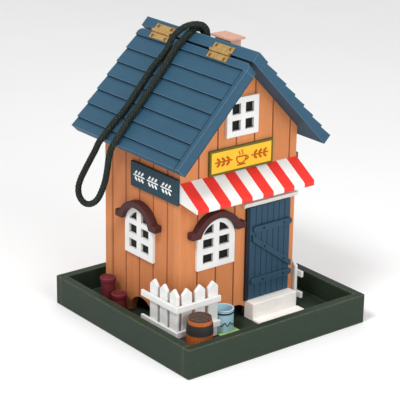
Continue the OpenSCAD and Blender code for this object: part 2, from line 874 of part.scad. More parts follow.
module step_block() {
    color("white") translate([door_x - step_past[0], front - step_d, floor_t])
        cube([door_w + step_past[0] + step_past[1], step_d, step_h]);
}
module step_tread() {
    color("white") translate([door_x - tread_past[0], front - step_d - tread_d, floor_t])
        cube([door_w + tread_past[0] + tread_past[1], tread_d, tread_h]);
}

// ---- Signs ----

module front_sign() {
    color([0.98, 0.8, 0.24]) on_front(sign_t) span(-sign_w / 2, sign_z, sign_w / 2, sign_z + sign_h);
}
module left_sign() {
    top = eave_z - side_sign_drop;
    color([0.14, 0.24, 0.28]) on_left(sign_t) span(front, top - side_sign_h, front + side_sign_w, top);
}
module right_sign() {
    color([0.3, 0.32, 0.16]) mirror([1, 0, 0]) left_sign();
}

// ---- Fences ----

// One picket with a pointed top, its outline about its foot
module picket_outline(h) {
    polygon([[-picket_w / 2, 0], [picket_w / 2, 0], [picket_w / 2, h - point_h], [0, h],
        [-picket_w / 2, h - point_h]]);
}

// A row of upright pickets along +X from x = first
module picket_row(count, first, h) {
    for (i = [0 : count - 1])
        translate([first + i * picket_pitch, picket_t, 0]) rotate([90, 0, 0])
            linear_extrude(picket_t) picket_outline(h);
}

// The corner fence has three pickets on each leg, with the rails outside them.
front_leg = 50.5;
left_leg = 57;
front_picket_inset = 2.5;
left_picket_inset = 0.5;

// The right fence: its rails start right_leg_start before the front wall.
right_leg = 52;
right_leg_start = 9;
right_picket_start = 3.5;

module fence_front_pickets() {
    color("white") translate([left_fence_x, front_fence_y - picket_t, floor_t])
        picket_row(3, picket_w / 2 + front_picket_inset, fence_h);
}
module fence_front_rails() {
    color("white") for (z = [low_rail, high_rail])
        translate([left_fence_x - picket_t, front_fence_y - picket_t - rail_t, floor_t + z])
            cube([front_leg, rail_t, rail_h]);
}
module fence_left_pickets() {
    color("white") translate([left_fence_x, front_fence_y - picket_t, floor_t]) rotate([0, 0, 90])
        picket_row(3, picket_w / 2 + left_picket_inset, fence_h);
}
module fence_left_rails() {
    color("white") for (z = [low_rail, high_rail])
        translate([left_fence_x - picket_t - rail_t, front_fence_y - picket_t - rail_t, floor_t + z])
            cube([rail_t, left_leg, rail_h]);
}
module fence_right_pickets() {
    color("white") translate([right_fence_x + picket_t, front - right_picket_start, floor_t])
        rotate([0, 0, 90]) picket_row(3, picket_w / 2, right_fence_h);
}
module fence_right_rails() {
    color("white") for (z = [right_low_rail, right_high_rail])
        translate([right_fence_x + picket_t, front - right_leg_start, floor_t + z])
            cube([rail_t, right_leg, rail_h]);
}

// ---- Barrel, can and pots ----

// Radius of the barrel at a share of its height, from 0 at the foot to 1 at the top
function barrel_at(t) = barrel_r + barrel_belly * sin(180 * t);
staves = 10;
band_first = 6;
band_last = 9;
band_t = 0.6;
barrel_lid_inset = 0.4;
stave_h = barrel_h - barrel_lid_t;

module barrel_body() {
    color([0.69, 0.35, 0.16]) translate([barrel_x, barrel_y, floor_t]) rotate_extrude() polygon(concat(
        [[0, 0]],
        [for (i = [0 : staves]) [barrel_at(i / staves), stave_h * i / staves]],
        [[0, stave_h]]));
}
module barrel_band() {
    color([0.19, 0.18, 0.17]) translate([barrel_x, barrel_y, floor_t]) rotate_extrude() polygon(concat(
        [for (i = [band_first : band_last]) [barrel_at(i / staves) + band_t, stave_h * i / staves]],
        [for (i = [band_last : -1 : band_first]) [barrel_at(i / staves), stave_h * i / staves]]));
}
module barrel_lid() {
    color([0.31, 0.24, 0.22]) translate([barrel_x, barrel_y, floor_t + stave_h])
        cylinder(h = barrel_lid_t, r = barrel_r - barrel_lid_inset);
}

can_band_t = 0.4;
plate_shift = 1.5;

module can_body() {
    color([0.63, 0.78, 0.84]) translate([can_x, can_y, floor_t + plate_t]) difference() {
        cylinder(h = can_h, r = can_r);
        translate([0, 0, can_wall]) cylinder(h = can_h, r = can_r - can_wall);
    }
}
module can_band() {
    band_z = floor_t + plate_t + can_h - can_band_drop;
    color([0.15, 0.2, 0.25]) translate([can_x, can_y, band_z]) difference() {
        cylinder(h = can_band_h, r = can_r + can_band_t);
        translate([0, 0, -past]) cylinder(h = can_band_h + 2 * past, r = can_r);
    }
}
module can_plate() {
    color([0.63, 0.78, 0.5]) translate([can_x - plate_w / 2, can_y - plate_w / 2 - plate_shift, floor_t])
        cube([plate_w, plate_w, plate_t]);
}

pot_rim_h = 5;
pot_wall = 1.8;
pot_depth = 1;

module red_pot(x, y, h) {
    color([0.41, 0.14, 0.17]) translate([x, y, floor_t]) rotate_extrude() polygon([
        [0, 0], [pot_r - 1.6, 0], [pot_r - 0.6, h - pot_rim_h], [pot_r, h - pot_rim_h], [pot_r, h],
        [pot_r - pot_wall, h], [pot_r - pot_wall - 0.4, h - pot_depth], [0, h - pot_depth]]);
}
module tall_pot() { red_pot(pot_x, tall_pot_y, tall_pot_h); }
module short_pot() { red_pot(pot_x, short_pot_y, short_pot_h); }

tray_floor();
tray_rim_front();
tray_rim_back();
tray_rim_left();
tray_rim_right();
floor_screws();
wall_front();
wall_back();
wall_left();
wall_right();
roof_fixed_panel();
roof_lid();
roof_nails();
hinge_fixed_leaves();
hinge_lid_leaves();
hinge_pins();
hinge_screws_ridge();
hinge_screws_lid();
chimney_stack();
chimney_cap();
chimney_nail();
rope_strand_left();
rope_strand_right();
rope_loop();
rope_knot();
gable_window_frame();
gable_window_backing();
front_window_frame();
front_window_backing();
front_window_hood();
side_window_frame();
side_window_backing();
side_window_hood();
awning();
door_lintel();
door_boards_slab();
door_jamb();
door_ledges();
door_brace();
door_nails();
step_block();
step_tread();
front_sign();
left_sign();
right_sign();
fence_left_pickets();
fence_left_rails();
fence_front_pickets();
fence_front_rails();
fence_right_pickets();
fence_right_rails();
barrel_body();
barrel_band();
barrel_lid();
can_body();
can_band();
can_plate();
tall_pot();
short_pot();
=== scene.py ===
# %% [markdown]
# # A hanging bird feeder that looks like a small cafe
# The real object is sawn, scored and painted wood with brass hinges and a braided rope. The packed
# CAD model is the fixed frame: it says how big each piece is and where it sits. This lesson gives
# each piece the rounded edges, brush marks and wear that a painted toy-like feeder has, and adds the
# parts that are too fine for CAD: the braid of the rope, the painted ornaments and the barrel's lid.

import math

import bmesh
import bpy
from mathutils import Matrix, Vector
from mathutils.geometry import interpolate_bezier


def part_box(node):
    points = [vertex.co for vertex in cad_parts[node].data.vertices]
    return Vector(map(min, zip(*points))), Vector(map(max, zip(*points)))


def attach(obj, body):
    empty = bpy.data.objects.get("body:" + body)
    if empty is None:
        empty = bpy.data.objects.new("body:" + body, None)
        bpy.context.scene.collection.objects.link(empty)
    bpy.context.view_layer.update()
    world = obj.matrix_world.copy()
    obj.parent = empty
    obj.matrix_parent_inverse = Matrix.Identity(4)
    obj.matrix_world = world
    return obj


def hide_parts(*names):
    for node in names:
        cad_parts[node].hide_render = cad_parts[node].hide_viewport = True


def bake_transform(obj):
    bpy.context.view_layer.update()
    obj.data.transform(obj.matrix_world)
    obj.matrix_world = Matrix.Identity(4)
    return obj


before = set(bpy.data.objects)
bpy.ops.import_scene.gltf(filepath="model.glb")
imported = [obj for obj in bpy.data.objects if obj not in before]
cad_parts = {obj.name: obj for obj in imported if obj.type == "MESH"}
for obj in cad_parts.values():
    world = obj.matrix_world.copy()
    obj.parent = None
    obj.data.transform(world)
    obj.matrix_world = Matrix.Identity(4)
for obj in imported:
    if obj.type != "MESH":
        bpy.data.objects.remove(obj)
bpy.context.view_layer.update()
MM = 0.001

# %% [markdown]
# ## The camera
# The feeder is seen from its front left corner and a little from above, with a long lens, so that its
# upright edges stay nearly parallel. A camera could be aimed with a constraint, but a plain matrix
# built from where it looks and which way is up is easier to read back.

# %% Camera
SENSOR_WIDTH = 36.0


def aimed_camera(place, forward, up, lens):
    data = bpy.data.cameras.new("camera")
    data.sensor_width = SENSOR_WIDTH
    data.lens = lens
    made = bpy.data.objects.new("camera", data)
    bpy.context.scene.collection.objects.link(made)
    back = -Vector(forward).normalized()
    right = Vector(up).cross(back).normalized()
    turn = Matrix((right, back.cross(right), back)).transposed()
    made.matrix_world = Matrix.Translation(Vector(place) * MM) @ turn.to_4x4()
    return made


camera = aimed_camera(
    place=(-908.8, -1135.1, 645.2),
    forward=(0.5826, 0.7383, -0.3399),
    up=(0.1981, 0.2766, 0.9404),
    lens=142.15,
)
bpy.context.scene.camera = camera
# The Standard view shows a paint's colour as it is. The default view would pale it.
bpy.context.scene.view_settings.view_transform = "Standard"
print("camera is", round(camera.location.length, 3), "m from the tray")

# %% [markdown]
# ## One way to finish a piece
# Every piece ends the same way: its mesh goes into an object at the origin, it gets its paint, it
# rides on a body of the CAD model, and it may stand for a CAD node. One function does all of this, so
# that the cells below only describe shapes.

# %% Finished pieces
SMOOTH_ANGLE = math.radians(40)


def piece(name, bm, materials, body="root", stands_for=(), smooth=False):
    mesh = bpy.data.meshes.new(name)
    bm.to_mesh(mesh)
    bm.free()
    for material in materials:
        mesh.materials.append(material)
    if smooth:
        mesh.shade_smooth()
        mesh.set_sharp_from_angle(angle=SMOOTH_ANGLE)
    made = bpy.data.objects.new(name, mesh)
    bpy.context.scene.collection.objects.link(made)
    if body:
        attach(made, body)
    if stands_for:
        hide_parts(*stands_for)
    print(f"{name}: {len(mesh.polygons)} faces")
    return made


# %% [markdown]
# ## Shader maths as plain expressions
# A node graph is hard to read as code. This class wraps one socket, so that an expression such as
# `1 - mask * 0.3` adds the Math nodes by itself. Colours never go through it, because a Math node
# would turn them grey: they use Mix and Vector Math.

# %% Fields
class Field:
    """One number that changes over a surface."""

    def __init__(self, finish, socket):
        self.finish = finish
        self.socket = socket

    def maths(self, operation, *values):
        inputs = dict(enumerate(values))
        return self.finish.node("Math", inputs, operation=operation)

    def __add__(self, other):
        return self.maths("ADD", self, other)

    def __radd__(self, other):
        return self.maths("ADD", other, self)

    def __sub__(self, other):
        return self.maths("SUBTRACT", self, other)

    def __rsub__(self, other):
        return self.maths("SUBTRACT", other, self)

    def __mul__(self, other):
        return self.maths("MULTIPLY", self, other)

    def __rmul__(self, other):
        return self.maths("MULTIPLY", other, self)

    def __pow__(self, other):
        return self.maths("POWER", self, other)

    def floor(self):
        return self.maths("FLOOR", self)

    def sine(self):
        return self.maths("SINE", self)

    def size(self):
        return self.maths("ABSOLUTE", self)

    def clamped(self):
        return self.finish.node("Clamp", {"Value": self})


# %% [markdown]
# ## A finish
# A finish is one material. `node` adds any node: its settings go on first, because they decide which
# sockets it has, and then its inputs. The helpers under it are the looks that all the paints here
# share: mottling, brush streaks, rubbed edges and painted shade in the corners. A Bevel node finds
# edges and an Ambient Occlusion node finds corners, so no mask has to be painted by hand.

# %% Finishes
def srgb(red, green, blue):
    """A display colour, 0 to 255 a channel, as the linear colour that a shader wants."""
    shares = [value / 255 for value in (red, green, blue)]
    return tuple(s / 12.92 if s <= 0.04045 else ((s + 0.055) / 1.055) ** 2.4 for s in shares)


class Finish:
    def __init__(self, name, constants=None):
        self.material = bpy.data.materials.new(name)
        self.material.use_nodes = True
        self.tree = self.material.node_tree
        self.shader = self.tree.nodes["Principled BSDF"]
        for key, value in (constants or {}).items():
            self.shader.inputs[key].default_value = value

    def feed(self, socket, value):
        if isinstance(value, Field):
            self.tree.links.new(value.socket, socket)
        elif isinstance(value, tuple) and socket.type == "RGBA":
            socket.default_value = (*value, 1.0)
        else:
            socket.default_value = value

    def node(self, kind, inputs=None, out=0, **settings):
        made = self.tree.nodes.new("ShaderNode" + kind)
        for key, value in settings.items():
            setattr(made, key, value)
        for key, value in (inputs or {}).items():
            self.feed(made.inputs[key], value)
        return Field(self, made.outputs[out])

    def place(self, stretch=(1.0, 1.0, 1.0)):
        """The piece's own coordinates, in metres, squeezed along some axes."""
        where = self.node("TexCoord", out="Object")
        if stretch == (1.0, 1.0, 1.0):
            return where
        return self.node("Mapping", {"Vector": where, "Scale": stretch})

    def noise(self, where, scale, detail=3.0, roughness=0.55):
        inputs = {"Vector": where, "Scale": scale, "Detail": detail, "Roughness": roughness}
        return self.node("TexNoise", inputs)

    def mix(self, first, second, share):
        return self.node("Mix", {0: share, 6: first, 7: second}, out=2, data_type="RGBA")

    def toned(self, colour, tone):
        """A colour made lighter or darker by a field about 1."""
        return self.node("VectorMath", {0: colour, "Scale": tone}, operation="SCALE")

    def edges(self, reach):
        rounded = self.node("Bevel", {"Radius": reach}, samples=6)
        straight = self.node("NewGeometry", out="Normal")
        facing = self.node("VectorMath", {0: rounded, 1: straight}, out="Value", operation="DOT_PRODUCT")
        return ((1 - facing) * 4.0).clamped()

    def corners(self, reach):
        # How closed in a point is, from ambient occlusion: the paints use it for painted shade in corners and
        # recesses, the metals for tarnish in hollows.
        open_air = self.node("AmbientOcclusion", {"Distance": reach}, out="AO", samples=8, only_local=True)
        return (1 - open_air).clamped()

    def surface(self, colour, roughness, bump=None, depth=0.0002):
        self.feed(self.shader.inputs["Base Color"], colour)
        self.feed(self.shader.inputs["Roughness"], roughness)
        if bump:
            raised = self.node("Bump", {"Height": bump, "Strength": 0.6, "Distance": depth})
            self.feed(self.shader.inputs["Normal"], raised)
        return self.material


# %% [markdown]
# ## Painted wood
# Most of the feeder is soft wood under one coat of acrylic paint. Brushed paint is a little uneven,
# shows streaks along the board and wears through to a paler tone on the edges, and its corners are
# painted darker as shade. All the paints are made by one function, so a board only names its
# colours and the way its brush strokes run.

# %% Paints
MATT = {"Specular IOR Level": 0.2}
ALONG_X = (0.06, 1.0, 1.0)
ALONG_Y = (1.0, 0.06, 1.0)
ALONG_Z = (1.0, 1.0, 0.06)


def painted_wood(name, colour, worn, shade_colour, stroke=ALONG_X, wear=0.5, streak=0.12, reach=0.0014):
    finish = Finish(name, MATT)
    where = finish.place()
    broad = finish.noise(where, 45.0)
    strokes = finish.noise(finish.place(stroke), 900.0, detail=4.0)
    chips = finish.noise(where, 420.0, detail=5.0)
    corner = finish.corners(0.004)
    edge = finish.edges(reach)
    rubbed = (edge * (1 - corner * 3) * 1.6 + (chips - 0.62) * 1.5).clamped() * wear
    tone = 1 + (broad - 0.5) * 0.25 + (strokes - 0.5) * streak
    # Painted shade: the paint goes towards its shade colour in corners and recesses, where the ambient
    # occlusion mask is high.
    in_shade = finish.mix(colour, shade_colour, (corner * 1.5).clamped())
    painted = finish.mix(finish.toned(in_shade, tone), worn, rubbed)
    return finish.surface(painted, 0.45 + broad * 0.15, strokes + broad * 0.5)


tray_green = painted_wood(
    "tray_green", srgb(40, 53, 42), srgb(122, 128, 92), srgb(20, 26, 20), wear=0.8, reach=0.0024)
roof_blue = painted_wood(
    "roof_blue", srgb(47, 82, 104), srgb(96, 132, 154), srgb(12, 24, 38), ALONG_Y, 0.5, streak=0.24,
    reach=0.0018)
window_white = painted_wood(
    "window_white", srgb(224, 224, 222), srgb(212, 206, 194), srgb(168, 162, 152), ALONG_Z, wear=0.3)
step_white = painted_wood(
    "step_white", srgb(248, 244, 238), srgb(222, 210, 190), srgb(184, 170, 150), ALONG_X, 0.5, streak=0.3)
hood_maroon = painted_wood("hood_maroon", srgb(72, 38, 38), srgb(104, 66, 60), srgb(34, 18, 18), wear=0.5)
door_blue = painted_wood(
    "door_blue", srgb(44, 74, 94), srgb(78, 108, 128), srgb(12, 22, 32), ALONG_Z, wear=0.4, streak=0.25)
frame_dark = painted_wood("frame_dark", srgb(26, 34, 42), srgb(60, 70, 78), srgb(10, 12, 14), ALONG_Z)
pane_black = painted_wood("pane_black", srgb(12, 12, 14), srgb(30, 30, 32), srgb(4, 4, 4), wear=0.2)
awning_red = painted_wood(
    "awning_red", srgb(226, 54, 46), srgb(240, 128, 114), srgb(160, 24, 26), ALONG_Y, 0.35, streak=0.15)
awning_white = painted_wood(
    "awning_white", srgb(226, 226, 224), srgb(208, 203, 196), srgb(176, 170, 162), ALONG_Y, 0.3)
sign_yellow = painted_wood(
    "sign_yellow", srgb(240, 188, 52), srgb(248, 212, 120), srgb(160, 122, 28), ALONG_X, 0.3)
sign_border = painted_wood("sign_border", srgb(98, 94, 36), srgb(138, 134, 68), srgb(46, 46, 16))
sign_blue = painted_wood("sign_blue", srgb(34, 60, 72), srgb(70, 98, 108), srgb(14, 26, 32), ALONG_Y)
sign_olive = painted_wood("sign_olive", srgb(88, 92, 44), srgb(130, 132, 84), srgb(40, 42, 18), ALONG_Y)
ornament_orange = painted_wood("ornament_orange", srgb(192, 92, 16), srgb(214, 128, 48), srgb(120, 54, 8))
ornament_white = painted_wood("ornament_white", srgb(238, 240, 238), srgb(226, 226, 222), srgb(170, 172, 172))
ornament_dark = painted_wood("ornament_dark", srgb(34, 44, 52), srgb(60, 72, 82), srgb(14, 18, 22))
can_blue = painted_wood("can_blue", srgb(168, 206, 219), srgb(214, 230, 235), srgb(92, 132, 148), ALONG_Z)
plate_green = painted_wood("plate_green", srgb(158, 200, 128), srgb(196, 220, 172), srgb(96, 130, 74))
pot_red = painted_wood("pot_red", srgb(106, 38, 44), srgb(146, 74, 76), srgb(48, 16, 20), ALONG_Z)
barrel_orange = painted_wood(
    "barrel_orange", srgb(178, 92, 40), srgb(206, 134, 84), srgb(92, 40, 14), ALONG_Z, streak=0.4)
barrel_brown = painted_wood(
    "barrel_brown", srgb(82, 62, 54), srgb(120, 98, 86), srgb(34, 24, 20), ALONG_X, streak=0.4)
band_black = painted_wood("band_black", srgb(48, 46, 44), srgb(84, 80, 76), srgb(20, 20, 20))
print("painted finishes:", len(bpy.data.materials))

# %% [markdown]
# ## Stained planks
# The walls are one board each, scored with V grooves so that they look like planks, and stained
# orange-brown. Each plank takes the stain a little differently. The plank's number comes from the
# place along the wall, so the tones change exactly at the grooves, and the grain runs upright.

# %% Wall stain
PLANK_WIDTH = 22.3 * MM
GROOVE_ON_GABLES = -49.4 * MM
GROOVE_ON_SIDES = -24.1 * MM


def stained_planks(name, colour, axis, first_groove):
    finish = Finish(name, MATT)
    where = finish.place()
    along = finish.node("SeparateXYZ", {0: where}, out=axis)
    number = ((along - first_groove) * (1 / PLANK_WIDTH)).floor()
    plank = finish.node("TexWhiteNoise", {"W": number}, noise_dimensions="1D")
    grain = finish.noise(finish.place((1.0, 1.0, 0.04)), 1300.0, detail=5.0, roughness=0.65)
    figure = finish.noise(finish.place((1.0, 1.0, 0.12)), 150.0, detail=4.0)
    corner = finish.corners(0.003)
    edge = finish.edges(0.001)
    tone = 0.95 + plank * 0.1 + (grain - 0.5) * 0.35 + (figure - 0.5) * 0.3
    # Painted shade: the stain goes towards a deep brown in corners, grooves and recesses, from the ambient
    # occlusion mask.
    stain_with_corner_shade = finish.mix(colour, srgb(112, 50, 20), (corner * 2.2).clamped())
    worn = finish.mix(finish.toned(stain_with_corner_shade, tone), srgb(222, 164, 116), edge * (1 - corner * 3) * 0.4)
    return finish.surface(worn, 0.5 + grain * 0.2, grain, depth=0.00015)


gable_stain = stained_planks("gable_stain", srgb(205, 131, 82), "X", GROOVE_ON_GABLES)
side_stain = stained_planks("side_stain", srgb(194, 121, 75), "Y", GROOVE_ON_SIDES)
print("stains:", gable_stain.name, side_stain.name)

# %% [markdown]
# ## Bare wood, brass and steel
# The chimney is left bare, the hinges are brass that has lost its polish, and the nails are steel.
# Metals need little colour work: their look comes from the roughness and from fine scratches.

# %% Bare wood and metals
def bare_wood(name, colour, dark):
    finish = Finish(name, MATT)
    rings = finish.noise(finish.place((1.0, 1.0, 0.08)), 700.0, detail=5.0)
    broad = finish.noise(finish.place(), 90.0)
    corner = finish.corners(0.004)
    grained = finish.mix(colour, dark, ((rings - 0.45) * 2.2).clamped() * 0.5)
    shaded = finish.mix(finish.toned(grained, 0.92 + broad * 0.16), dark, corner)
    return finish.surface(shaded, 0.62 + rings * 0.2, rings)


def metal(name, colour, dull, roughness):
    finish = Finish(name, {"Metallic": 0.9})
    clouds = finish.noise(finish.place(), 260.0, detail=5.0)
    scratches = finish.noise(finish.place((1.0, 0.05, 1.0)), 3000.0)
    corner = finish.corners(0.0015)
    tarnish = ((clouds - 0.45) * 2.5 + corner * 1.5).clamped() * 0.7
    return finish.surface(
        finish.mix(colour, dull, tarnish), roughness + clouds * 0.25, scratches, depth=0.00004)


chimney_wood = bare_wood("chimney_wood", srgb(206, 160, 138), srgb(168, 116, 96))
brass = metal("brass", srgb(214, 176, 112), srgb(126, 92, 48), 0.28)
screw_brass = metal("screw_brass", srgb(150, 112, 62), srgb(70, 48, 26), 0.35)
steel = metal("steel", srgb(150, 150, 150), srgb(84, 80, 78), 0.3)
print("bare finishes:", chimney_wood.name, brass.name, steel.name)

# %% [markdown]
# ## The rope's route
# Both ends of one soft braided rope come up through a hole in the fixed roof half. They bend over the
# ridge, lie on the lid, drop over the eaves and meet in a loop that hangs in the air. The points are
# those of the CAD model, from the knot under the roof round the loop and back. A Bezier curve through
# each pair, with handles that follow the neighbours, gives one smooth line, and rings that are carried
# along it without twisting keep the braid straight.

# %% Rope route
ROPE = [
    (7, 17.5, 251), (7, 17.5, 262), (7, 17.5, 275), (6.5, 17.5, 281.5), (5.5, 18, 286.5),
    (3, 19.5, 290), (-1.5, 22.5, 291.5), (-7, 27.5, 290.5), (-12.5, 34, 286), (-18.5, 40, 276.5),
    (-23.5, 43, 264.5), (-35, 46, 251.5), (-57, 45, 228.5), (-72.5, 44, 212.5), (-85.5, 46.5, 199.5),
    (-94, 47, 190.5), (-98, 49, 184.5), (-99.5, 53, 176), (-99.5, 61, 165), (-99.5, 71, 151),
    (-99.5, 79.5, 138), (-99.5, 83, 129), (-99.5, 82, 122), (-99.5, 77.5, 118), (-99.5, 71, 116.5),
    (-99.5, 63.5, 118), (-99.5, 56.5, 121.5), (-99.5, 50.5, 126.5), (-99.5, 43, 137), (-99.5, 37, 149),
    (-99.5, 33, 163), (-99.5, 30, 176), (-98, 28, 184.5), (-94, 27.5, 190.5), (-85, 28, 200),
    (-76, 30, 209), (-67.5, 29, 218), (-52.5, 30.5, 233.5), (-31, 32, 256), (-21.5, 34, 266),
    (-15.5, 32.5, 272.5), (-9.5, 30.5, 279), (-4.5, 29.5, 283.5), (0.5, 28.5, 285.8), (5, 27, 285.5),
    (8.3, 25, 281.8), (9, 23.5, 275), (9, 23.5, 262), (9, 23.5, 251),
]
LOOP_FROM, LOOP_TO = 15, 33
ROPE_WIDTH = 6.2 * MM
RING_STEP = 0.75 * MM


def smooth_route(points, step):
    """Points about a step apart on a smooth curve, and the number of the one at each given point."""
    gaps = [(b - a).length for a, b in zip(points, points[1:])]
    ways = [(b - a) / gap for a, b, gap in zip(points, points[1:], gaps)]
    turns = [ways[0]]
    for i in range(1, len(ways)):
        turns.append((ways[i - 1] * gaps[i] + ways[i] * gaps[i - 1]) / (gaps[i - 1] + gaps[i]))
    turns.append(ways[-1])
    route, marks = [], []
    for i, gap in enumerate(gaps):
        marks.append(len(route))
        rings = max(3, round(gap / step) + 1)
        first, last = points[i], points[i + 1]
        reach = gap / 3
        curve = interpolate_bezier(first, first + turns[i] * reach, last - turns[i + 1] * reach, last, rings)
        route += curve[:-1]
    marks.append(len(route))
    return route + [points[-1]], marks


def carried_rings(path):
    """Two directions across the path at each point, which turn with it but don't twist."""
    last = len(path) - 1
    ways = [(path[min(i + 1, last)] - path[max(i - 1, 0)]).normalized() for i in range(last + 1)]
    across = ways[0].orthogonal().normalized()
    rings = []
    for way in ways:
        across = (across - way * across.dot(way)).normalized()
        rings.append((across, way.cross(across)))
    return rings


def lengths_along(path):
    lengths = [0.0]
    for a, b in zip(path, path[1:]):
        lengths.append(lengths[-1] + (b - a).length)
    return lengths


rope_path, rope_marks = smooth_route([Vector(p) * MM for p in ROPE], RING_STEP)
rope_rings = carried_rings(rope_path)
rope_lengths = lengths_along(rope_path)
print("rope:", round(rope_lengths[-1], 4), "m along", len(rope_path), "rings")

# %% [markdown]
# ## Rolling a tube
# A tube could be a curve with a bevel, but then its surface can't carry a braid. Here a flat grid is
# rolled round the path: one side of the grid runs along the rope and the other goes round it. The
# grid's own sides become the UV map before it is rolled, so the seam is clean.

# %% Tubes
def rolled_tube(bm, path, rings, lengths, sides, radius_at):
    uv = bm.loops.layers.uv.verify()
    last = len(path) - 1
    sheet = bmesh.ops.create_grid(bm, x_segments=last, y_segments=sides, size=0.5)["verts"]
    for face in {face for vert in sheet for face in vert.link_faces}:
        for loop in face.loops:
            number = round((loop.vert.co.x + 0.5) * last)
            loop[uv].uv = (lengths[number], loop.vert.co.y + 0.5)
    for vert in sheet:
        number = round((vert.co.x + 0.5) * last)
        turn = (vert.co.y + 0.5) * math.tau
        side, up = rings[number]
        out = side * math.cos(turn) + up * math.sin(turn)
        vert.co = path[number] + out * radius_at(lengths[number], turn)
    bmesh.ops.remove_doubles(bm, verts=sheet, dist=1e-7)
    rim = [edge for edge in bm.edges if edge.is_boundary]
    bmesh.ops.holes_fill(bm, edges=rim, sides=0)
    bmesh.ops.recalc_face_normals(bm, faces=bm.faces)


# %% [markdown]
# ## The braid
# A braided rope is two sets of strands that wind in opposite ways and cross. The height of the
# surface falls to nothing along both sets of lines, which leaves rows of small diamonds. The same
# formula drives the mesh here and the painted shade in the gaps of the finish, so the two agree.

# %% Rope finish and pieces
BRAID_STRANDS = 6
BRAID_PITCH = 4.4 * MM
ROPE_SIDES = 36


def braid_radius(length, turn):
    one = BRAID_STRANDS * turn + math.tau * length / BRAID_PITCH
    other = BRAID_STRANDS * turn - math.tau * length / BRAID_PITCH
    height = math.sqrt(abs(math.sin(one / 2) * math.sin(other / 2)))
    return ROPE_WIDTH / 2 * (0.9 + 0.13 * height)


def braided(name, colour, fleck, gap):
    finish = Finish(name, MATT)
    where = finish.node("TexCoord", out="UV")
    length = finish.node("SeparateXYZ", {0: where}, out="X") * (math.tau / BRAID_PITCH)
    turn = finish.node("SeparateXYZ", {0: where}, out="Y") * (math.tau * BRAID_STRANDS)
    one = ((turn + length) * 0.5).sine()
    other = ((turn - length) * 0.5).sine()
    height = (one * other).size() ** 0.5
    fibres = finish.noise(finish.place(), 2600.0, detail=2.0)
    flecks = ((fibres - 0.57) * 12).clamped() * height
    # Painted shade: where the braid is low, between the strands, the colour goes to the near-black gap
    # colour.
    body = finish.mix(gap, colour, (height * 1.6).clamped())
    return finish.surface(finish.mix(body, fleck, flecks * 0.8), 0.75 + fibres * 0.15, fibres)


# The last colour is the painted shade in the braid's gaps.
rope_black = braided("rope_black", srgb(22, 30, 28), srgb(116, 128, 110), srgb(5, 7, 6))


def rope_part(name, first, last):
    a, b = rope_marks[first], rope_marks[last] + 1
    path = rope_path[a:b]
    bm = bmesh.new()
    rolled_tube(bm, path, rope_rings[a:b], rope_lengths[a:b], ROPE_SIDES, braid_radius)
    made = piece(name + "_braid", bm, [rope_black], None, [name], smooth=True)
    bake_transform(made)
    return made, path


ROPE_END = len(ROPE) - 1
left_strand, left_path = rope_part("rope_strand_left", 0, LOOP_FROM)
loop, loop_path = rope_part("rope_loop", LOOP_FROM, LOOP_TO)
right_strand, right_path = rope_part("rope_strand_right", LOOP_TO, ROPE_END)

# %% [markdown]
# ## The knot
# Under the roof an overhand knot keeps the rope from pulling through. An overhand knot that is closed
# on itself is a trefoil, which has a short formula, and a tube along it reads as a real knot when the
# lid is open.

# %% Knot
def trefoil(t, middle, wide, tall):
    x = math.sin(t) + 2 * math.sin(2 * t)
    y = math.cos(t) - 2 * math.cos(2 * t)
    return middle + Vector((x * wide, y * wide, -math.sin(3 * t) * tall))


knot_low, knot_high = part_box("rope_knot")
knot_middle = (knot_low + knot_high) / 2
KNOT_STEPS = 120
KNOT_WIDE, KNOT_TALL = 1.95 * MM, 3.4 * MM
KNOT_SQUEEZE = 0.86
knot_path = [
    trefoil(math.tau * i / KNOT_STEPS, knot_middle, KNOT_WIDE, KNOT_TALL) for i in range(KNOT_STEPS + 1)]
bm = bmesh.new()
rolled_tube(
    bm, knot_path, carried_rings(knot_path), lengths_along(knot_path), ROPE_SIDES,
    lambda length, turn: KNOT_SQUEEZE * braid_radius(length, turn))
knot = piece("rope_knot_tied", bm, [rope_black], "root", ["rope_knot"], smooth=True)

# Both strands leave the object inside the roof panel's hole, this far above their ends in the knot.
ABOVE_KNOT = Vector((0, 0, 12 * MM))
left_path[0] + ABOVE_KNOT
lengths_along(left_path)[-1]
lengths_along(loop_path)[-1]
right_path[-1] + ABOVE_KNOT
lengths_along(right_path)[-1]

# %% [markdown]
# ## Boards with soft edges
# Sanded and painted boards have no sharp edges, and it is the thin line of light on each edge that
# makes them look real. The CAD meshes are loose triangles, so a copy is merged, its flat faces are
# joined up, and only its sharp edges are bevelled. The radius suits the piece: a thick rim is rounder
# than a thin door board.

# %% Softened boards
SHARP = math.radians(28)
FLAT = math.radians(0.5)


def softened(node, radius, material, body="root", segments=2):
    bm = bmesh.new()
    bm.from_mesh(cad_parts[node].data)
    bmesh.ops.remove_doubles(bm, verts=bm.verts, dist=1e-6)
    bmesh.ops.dissolve_limit(bm, angle_limit=FLAT, verts=bm.verts, edges=bm.edges)
    sharp = [edge for edge in bm.edges if edge.is_manifold and edge.calc_face_angle() > SHARP]
    bmesh.ops.bevel(
        bm, geom=sharp, offset=radius * MM, affect="EDGES", segments=segments, profile=0.5,
        clamp_overlap=True, material=-1)
    for face in bm.faces:
        face.material_index = 0
    return piece(node + "_soft", bm, [material], body, [node])
